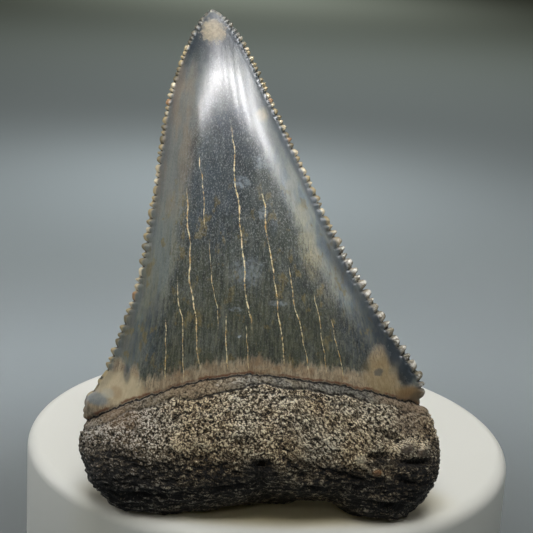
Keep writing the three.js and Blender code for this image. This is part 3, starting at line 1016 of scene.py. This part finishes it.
# Painted light and shade: the tops' colour is near white for the light they catch, the pits' near black for
# their shade.
pale_lit_top_colour = blend(tree, fade(region, 0.35, 0.65), colour(252, 242, 216), colour(250, 232, 192))
# Painted reflection: the tops on the left are painted bluish grey for the bluish glints on them.
pale_lit_top_colour = tinted(pale_lit_top_colour, (206, 204, 212), fade(x, -9.0, -16.0, 0.0, 0.5))
mid_colour = blend(tree, fade(region, 0.4, 0.6), colour(118, 105, 83), colour(122, 102, 74))
shaded_pit_colour = blend(tree, fade(region, 0.4, 0.6), colour(11, 9, 6), colour(13, 12, 13))
bone = blend(tree, fade(tops, 0.36, 0.62), shaded_pit_colour, mid_colour)
bone = blend(tree, fade(tops, 0.60, 0.88), bone, pale_lit_top_colour)
neck_left = blend(tree, fade(region, 0.4, 0.6), colour(134, 122, 99), colour(146, 128, 102))
neck_right = blend(tree, fade(region, 0.4, 0.6), colour(100, 102, 98), colour(118, 112, 97))
neck_colour = blend(tree, fade(x, -6.0, 0.0), neck_left, neck_right)
neck_colour = tinted(neck_colour, (152, 132, 106), fade(x, 10.0, 13.0))
# The neck is darker between its grains: partly its tone, partly painted shade.
neck_colour = tinted(neck_colour, (52, 44, 33), fade(tops, 0.66, 0.25), 0.85)
bone = blend(tree, part_of(in_neck, 0.8), bone, neck_colour)
shoulder = patch((15.8, -3, 10.4), (2.6, 5, 1.5), ragged=1.2, soft=0.5)
bone = tinted(bone, (146, 126, 104), shoulder, fade(tops, 0.3, 0.6), 0.55)
bone = stained_and_shaded(bone, (
    ((-16.6, -4, 9.6), (2.4, 4, 1.0), (150, 126, 98), 0.45),
    ((11.5, -8, 5.4), (0.5, 4, 0.4), (168, 112, 60), 0.6),
    # The near-black patches lie in the hollow in the middle and along the grooves on the right: painted
    # shade.
    ((-1.1, -8, 5.6), (1.8, 6, 1.3), (14, 11, 8), 0.6),
    ((12.4, -6, 6.3), (2.6, 6, 0.5), (12, 10, 7), 0.6), ((16.0, -6, 6.2), (1.9, 6, 0.4), (10, 8, 6), 0.7),
    ((9.6, -7, 4.0), (2.4, 6, 0.45), (12, 10, 8), 0.5),
    ((9.6, -8, 6.9), (0.6, 4, 0.4), (206, 196, 170), 0.5),
    ((14.9, -6, 7.8), (0.7, 4, 0.5), (104, 92, 80), 0.85),
    ((16.7, -5, 7.2), (0.6, 4, 0.45), (114, 100, 84), 0.85),
    ((-16.0, -6, 1.5), (0.6, 4, 0.4), (150, 130, 94), 0.5),
), swings=close_swing)
# Painted shade: low down the bone is painted near black, less so on the grains' tops, for the shade under
# the root's bulge.
painted_low_shade = fade(scaled(broad_swing, 2.0, z), 7.0, 3.0)
painted_low_shade = part_of(painted_low_shade, fade(tops, 0.45, 0.7, 1.0, 0.6))
bone = tinted(bone, (4, 3, 2), painted_low_shade)
lower_line = part_of(
    fade(close_swing, -0.08, 0.05), fade(x, -5.0, -2.0), fade(x, 11.0, 8.0), 0.8,
)
neck_line = part_of(fade(x, -11.0, -7.0, 0.45, 0.9), fade(x, 12.0, 8.0, 0.3, 1.0))
for distance_here, strength in (
    (maths(tree, "ADD", foot, 0.07), 1.0), (maths(tree, "ADD", neck_foot, 0.1), neck_line),
    (maths(tree, "ADD", neck_foot, 1.0), lower_line),
):
    line = fade(maths(tree, "ABSOLUTE", distance_here), 0.06, 0.17, 1.0, 0.0)
    bone = tinted(bone, (14, 9, 6), line, strength)
feed(tree, shader.inputs["Base Color"], blend(tree, on_enamel, bone, enamel))

# Gloss: polished enamel with a fine haze, duller where it is stained, on the serrations and at the
# tip; dull bone with a sheen on its tops.
haze = specks((1.6, 1.6, 1.2), 0.35, 0.7)
stains = larger(larger(band, tip_spot), crack_mask)
polish = scaled(stains, 0.2, scaled(haze, 0.06, 0.20))
dull_tip = fade(scaled(broad_swing, 1.5, z), 46.6, 49.0)
dull_bead = part_of(on_bead, opposite(part_of(right_low, 0.9)))
dull = larger(part_of(dull_tip, 0.8), dull_bead)
polish = scaled(dull_bead, 0.22, polish)
bone_polish = fade(tops, 0.35, 0.75, 0.7, 0.3)
feed(tree, shader.inputs["Roughness"], mix_number(on_enamel, bone_polish, polish))
enamel_coat = opposite(part_of(stains, 0.7))
for mask, share in ((dull, 0.9), (dark_specks, 0.3)):
    enamel_coat = part_of(enamel_coat, opposite(part_of(mask, share)))
bone_coat = fade(tops, 0.5, 0.9, 0.0, 0.5)
feed(tree, shader.inputs["Coat Weight"], mix_number(on_enamel, bone_coat, enamel_coat))
shader.inputs["Coat Roughness"].default_value = 0.19
shader.inputs["Coat IOR"].default_value = 1.6

# Relief too fine for the mesh: specks, fibres and cracks in the enamel, the finest grain of the bone.
enamel_relief = maths(tree, "MULTIPLY", pale_specks, 0.02)
enamel_relief = scaled(part_of(fibres, fade(z, 38, 26)), 0.03, enamel_relief)
enamel_relief = scaled(crack_mask, -0.5, enamel_relief)
bone_relief = scaled(rough, 1.4, maths(tree, "MULTIPLY", fine_grain, 0.2))
bone_relief = scaled(grain, 1.4, bone_relief)
bone_relief = part_of(bone_relief, mix_number(in_neck, 1.0, 0.8))
add_relief(tree, shader, mix_number(on_enamel, bone_relief, enamel_relief), 1.0)
tooth.data.materials.append(tooth_material)
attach(tooth, "root")
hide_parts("tooth")
